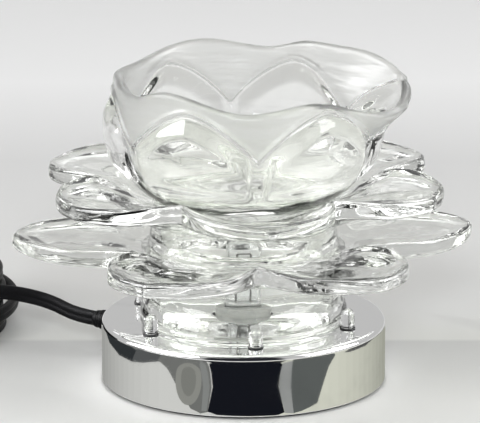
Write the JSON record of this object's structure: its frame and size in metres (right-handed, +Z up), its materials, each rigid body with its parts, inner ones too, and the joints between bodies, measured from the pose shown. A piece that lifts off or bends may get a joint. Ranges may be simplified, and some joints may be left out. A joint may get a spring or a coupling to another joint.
{
  "type": "wax melt warmer",
  "caption": "Electric wax melt warmer: chrome touch base with a capsule lamp, a pressed glass lotus that lifts off over it and a lift-off glass wax dish.",
  "frame": {"origin": "on the table, under the middle of the chrome base", "axes": "+Z up along the axis of the base and the bowl; -Y to the front, towards the viewer; +X to the viewer's right; the cord leaves at the left rear"},
  "size_m": [0.2803, 0.2088, 0.1245],
  "materials": {
    "chrome_shell": "mirror chrome plate",
    "zinc_plate": "zinc plated sheet steel",
    "dark_foam": "closed-cell foam, matt",
    "screw_steel": "zinc plated steel",
    "dark_washer": "soft dark washer",
    "peg_clear": "clear moulded, glossy",
    "ceramic": "pale steatite ceramic, semi-matt",
    "contact_brass": "spring brass",
    "foam_tape": "white foam tape",
    "module_case": "black moulded plastic",
    "board_green": "circuit board",
    "chip_black": "moulded epoxy",
    "capacitor_yellow": "dipped film",
    "crimp_grey": "nylon crimp sleeve",
    "lead_white": "sleeved lead",
    "lead_black": "pvc insulation",
    "lead_yellow": "pvc insulation",
    "contact_tinned": "tinned brass",
    "cord_black": "soft pvc, semi-matt",
    "tie_black": "plastic tie band",
    "blade_nickel": "nickel plated brass",
    "pressed_glass": "clear pressed glass, fire polished",
    "dish_glass": "clear pressed glass, rim satin etched",
    "quartz": "clear quartz",
    "pin_metal": "nickel",
    "tungsten": "coiled tungsten"
  },
  "bodies": {
    "base": {"base_shell": "chrome_shell", "base_plate": "zinc_plate", "foot_pad": "dark_foam", "shell_posts": "zinc_plate", "plate_screws": "screw_steel", "rest_peg_1": "peg_clear", "rest_peg_2": "peg_clear", "rest_peg_3": "peg_clear", "rest_peg_4": "peg_clear", "rest_peg_5": "peg_clear", "rest_peg_6": "peg_clear", "peg_washers": "dark_washer", "peg_push_nuts": "screw_steel", "lamp_holder": "ceramic", "holder_contacts": "contact_brass", "holder_bracket": "zinc_plate", "bracket_screws": "screw_steel", "module_tape": "foam_tape", "touch_module_case": "module_case", "touch_module_lid": "module_case", "touch_board": "board_green", "board_triac": "chip_black", "board_capacitor": "capacitor_yellow", "board_chip": "chip_black", "crimp_caps": "crimp_grey", "holder_lead_neutral": "lead_white", "holder_lead_load": "lead_white", "module_load_lead": "lead_black", "supply_neutral": "lead_black", "supply_line": "lead_black", "sense_wire": "lead_yellow", "ring_terminal": "contact_tinned", "terminal_screw": "screw_steel", "terminal_nut": "screw_steel", "strain_relief": "cord_black", "cord_inner": "cord_black", "cord_lead": "cord_black", "cord_coil": "cord_black", "cord_tail": "cord_black", "cord_tie": "tie_black", "plug_body": "cord_black", "plug_blades": "blade_nickel"},
    "flower": {"glass_foot": "pressed_glass", "petals_lower": "pressed_glass", "petals_upper": "pressed_glass"},
    "dish": {"wax_dish": "dish_glass"},
    "bulb": {"bulb_capsule": "quartz", "bulb_pins": "pin_metal", "bulb_filament": "tungsten"}
  },
  "joints": [
    {"name": "flower_lift", "type": "slide", "parent": "base", "child": "flower", "axis": [0, 0, 1], "range_m": [0, 0.05]},
    {"name": "dish_lift", "type": "slide", "parent": "flower", "child": "dish", "axis": [0, 0, 1], "range_m": [0, 0.03]},
    {"name": "bulb_pull", "type": "slide", "parent": "base", "child": "bulb", "axis": [0, 0, 1], "range_m": [0, 0.008]}
  ]
}
